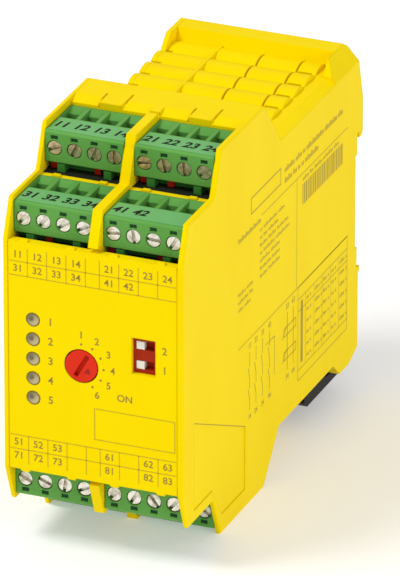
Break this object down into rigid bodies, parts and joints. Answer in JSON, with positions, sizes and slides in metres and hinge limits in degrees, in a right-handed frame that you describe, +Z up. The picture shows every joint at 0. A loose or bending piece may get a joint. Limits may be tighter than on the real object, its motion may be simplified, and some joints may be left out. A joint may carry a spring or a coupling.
{
  "type": "safety relay",
  "caption": "Rail-mounted safety relay: stepped yellow housing with pull-off green screw terminal plugs, status lamps, a time selector dial, a slide switch and a sprung foot latch.",
  "frame": {"origin": "centre of the rail seat: on the plane of the seat pads, midway between the sides and level with the rail's middle", "axes": "+X to the right seen from the front, +Y to the back into the rail, +Z up"},
  "size_m": [0.045, 0.1145, 0.099],
  "materials": {
    "housing_yellow": "fine matt moulding",
    "panel_yellow": "smooth printed film",
    "plug_green": "satin moulding",
    "header_green": "satin moulding",
    "screw_steel": "nickel plated",
    "clamp_steel": "zinc plated",
    "pin_tin": "plated",
    "coding_red": "satin",
    "lens_grey": "frosted",
    "lamp_clear": "clear cast",
    "dial_red": "satin",
    "switch_black": "satin",
    "dip_red": "satin",
    "slider_white": "satin",
    "board_green": "solder resist",
    "link_black": "satin",
    "relay_case": "satin",
    "capacitor_sleeve": "shrunk sleeve",
    "chip_black": "matt",
    "latch_black": "fine matt moulding",
    "spring_steel": "bright"
  },
  "bodies": {
    "housing": {"housing_body": "housing_yellow", "side_cover": "housing_yellow", "front_cover": "panel_yellow", "status_lenses": "lens_grey", "status_lamps": "lamp_clear", "selector_switch": "switch_black", "dip_switch": "dip_red", "front_board": "board_green", "control_board": "board_green", "power_board": "board_green", "board_link_front": "link_black", "board_link_rear": "link_black", "relay_1": "relay_case", "relay_2": "relay_case", "relay_3": "relay_case", "relay_4": "relay_case", "capacitors": "capacitor_sleeve", "logic_chips": "chip_black", "latch_spring": "spring_steel", "contact_pins": "pin_tin", "coding_pieces": "coding_red", "header_top_front_left": "header_green", "header_top_front_right": "header_green", "header_top_rear_left": "header_green", "header_top_rear_right": "header_green", "header_bottom_front_left": "header_green", "header_bottom_front_right": "header_green", "header_bottom_rear_left": "header_green", "header_bottom_rear_right": "header_green"},
    "plug_top_front_left": {"plug_top_front_left": "plug_green", "clamp_screws_top_front_left": "screw_steel", "wire_clamps_top_front_left": "clamp_steel"},
    "plug_top_front_right": {"plug_top_front_right": "plug_green", "clamp_screws_top_front_right": "screw_steel", "wire_clamps_top_front_right": "clamp_steel"},
    "plug_top_rear_left": {"plug_top_rear_left": "plug_green", "clamp_screws_top_rear_left": "screw_steel", "wire_clamps_top_rear_left": "clamp_steel"},
    "plug_top_rear_right": {"plug_top_rear_right": "plug_green", "clamp_screws_top_rear_right": "screw_steel", "wire_clamps_top_rear_right": "clamp_steel"},
    "plug_bottom_front_left": {"plug_bottom_front_left": "plug_green", "clamp_screws_bottom_front_left": "screw_steel", "wire_clamps_bottom_front_left": "clamp_steel"},
    "plug_bottom_front_right": {"plug_bottom_front_right": "plug_green", "clamp_screws_bottom_front_right": "screw_steel", "wire_clamps_bottom_front_right": "clamp_steel"},
    "plug_bottom_rear_left": {"plug_bottom_rear_left": "plug_green", "clamp_screws_bottom_rear_left": "screw_steel", "wire_clamps_bottom_rear_left": "clamp_steel"},
    "plug_bottom_rear_right": {"plug_bottom_rear_right": "plug_green", "clamp_screws_bottom_rear_right": "screw_steel", "wire_clamps_bottom_rear_right": "clamp_steel"},
    "dial": {"time_dial": "dial_red"},
    "slider_a": {"dip_slider_a": "slider_white"},
    "slider_b": {"dip_slider_b": "slider_white"},
    "latch": {"rail_latch": "latch_black"}
  },
  "joints": [
    {"name": "unplug_top_front_left", "type": "slide", "parent": "housing", "child": "plug_top_front_left", "axis": [0, -1, 0], "range_m": [0, 0.024]},
    {"name": "unplug_top_front_right", "type": "slide", "parent": "housing", "child": "plug_top_front_right", "axis": [0, -1, 0], "range_m": [0, 0.024]},
    {"name": "unplug_top_rear_left", "type": "slide", "parent": "housing", "child": "plug_top_rear_left", "axis": [0, -1, 0], "range_m": [0, 0.024]},
    {"name": "unplug_top_rear_right", "type": "slide", "parent": "housing", "child": "plug_top_rear_right", "axis": [0, -1, 0], "range_m": [0, 0.024]},
    {"name": "unplug_bottom_front_left", "type": "slide", "parent": "housing", "child": "plug_bottom_front_left", "axis": [0, -1, 0], "range_m": [0, 0.024]},
    {"name": "unplug_bottom_front_right", "type": "slide", "parent": "housing", "child": "plug_bottom_front_right", "axis": [0, -1, 0], "range_m": [0, 0.024]},
    {"name": "unplug_bottom_rear_left", "type": "slide", "parent": "housing", "child": "plug_bottom_rear_left", "axis": [0, -1, 0], "range_m": [0, 0.024]},
    {"name": "unplug_bottom_rear_right", "type": "slide", "parent": "housing", "child": "plug_bottom_rear_right", "axis": [0, -1, 0], "range_m": [0, 0.024]},
    {"name": "time_setting", "type": "hinge", "parent": "housing", "child": "dial", "pos_m": [-0.0029, -0.1109, 0], "axis": [0, 1, 0], "range_deg": [-120, 30]},
    {"name": "mode_switch_a", "type": "slide", "parent": "housing", "child": "slider_a", "axis": [1, 0, 0], "range_m": [0, 0.0022]},
    {"name": "mode_switch_b", "type": "slide", "parent": "housing", "child": "slider_b", "axis": [1, 0, 0], "range_m": [0, 0.0022]},
    {"name": "foot_release", "type": "slide", "parent": "housing", "child": "latch", "axis": [0, 0, -1], "range_m": [0, 0.003], "stiffness_N_per_m": 4000, "springref_m": -0.0008, "deforming": ["latch_spring"]}
  ]
}
